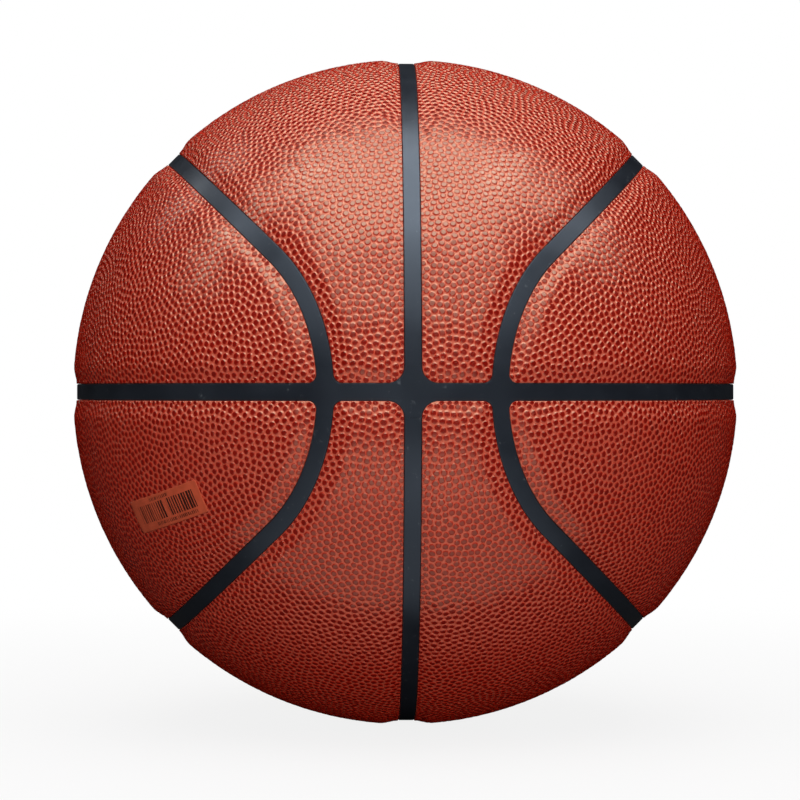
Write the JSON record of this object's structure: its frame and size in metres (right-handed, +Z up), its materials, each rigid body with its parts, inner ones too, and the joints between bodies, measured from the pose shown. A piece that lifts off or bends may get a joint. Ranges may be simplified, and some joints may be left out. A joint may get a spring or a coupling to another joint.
{
  "type": "basketball",
  "caption": "Inflated basketball: pebbled composite panels with smooth rubber strips inlaid between them, over a wound carcass and bladder, with a needle valve and a pull-out core.",
  "frame": {"origin": "centre of the ball", "axes": "+Z up, with the horizontal seam in the XY plane; -Y towards the seam crossing that faces the viewer; +X to the right, with the two oval seams round +X and -X"},
  "size_m": [0.2376, 0.237, 0.2376],
  "materials": {
    "cover": "pebbled composite leather, satin",
    "sponge": "closed cell sponge, matte",
    "strip": "smooth satin",
    "carcass": "moulded matte rubber",
    "thread": "wound nylon thread",
    "bladder": "smooth butyl rubber",
    "valve": "moulded rubber, satin",
    "core": "soft rubber, satin",
    "film": "clear film, satin"
  },
  "bodies": {
    "ball": {"bladder": "bladder", "carcass": "carcass", "center_panel_lower_left": "cover", "center_panel_lower_right": "cover", "center_panel_upper_left": "cover", "center_panel_upper_right": "cover", "center_sponge_lower_left": "sponge", "center_sponge_lower_right": "sponge", "center_sponge_upper_left": "sponge", "center_sponge_upper_right": "sponge", "equator_strip": "strip", "loop_strip_left_lower": "strip", "loop_strip_left_upper": "strip", "loop_strip_right_lower": "strip", "loop_strip_right_upper": "strip", "meridian_strip_lower": "strip", "meridian_strip_upper": "strip", "retail_sticker": "film", "side_panel_lower_left": "cover", "side_panel_lower_right": "cover", "side_panel_upper_left": "cover", "side_panel_upper_right": "cover", "side_sponge_lower_left": "sponge", "side_sponge_lower_right": "sponge", "side_sponge_upper_left": "sponge", "side_sponge_upper_right": "sponge", "thread_winding": "thread", "valve_body": "valve"},
    "valve_core": {"valve_core": "core"}
  },
  "joints": [
    {"name": "valve_core_pull", "type": "slide", "parent": "ball", "child": "valve_core", "axis": [0.1426, 0.9426, 0.3019], "range_m": [0, 0.022]}
  ]
}
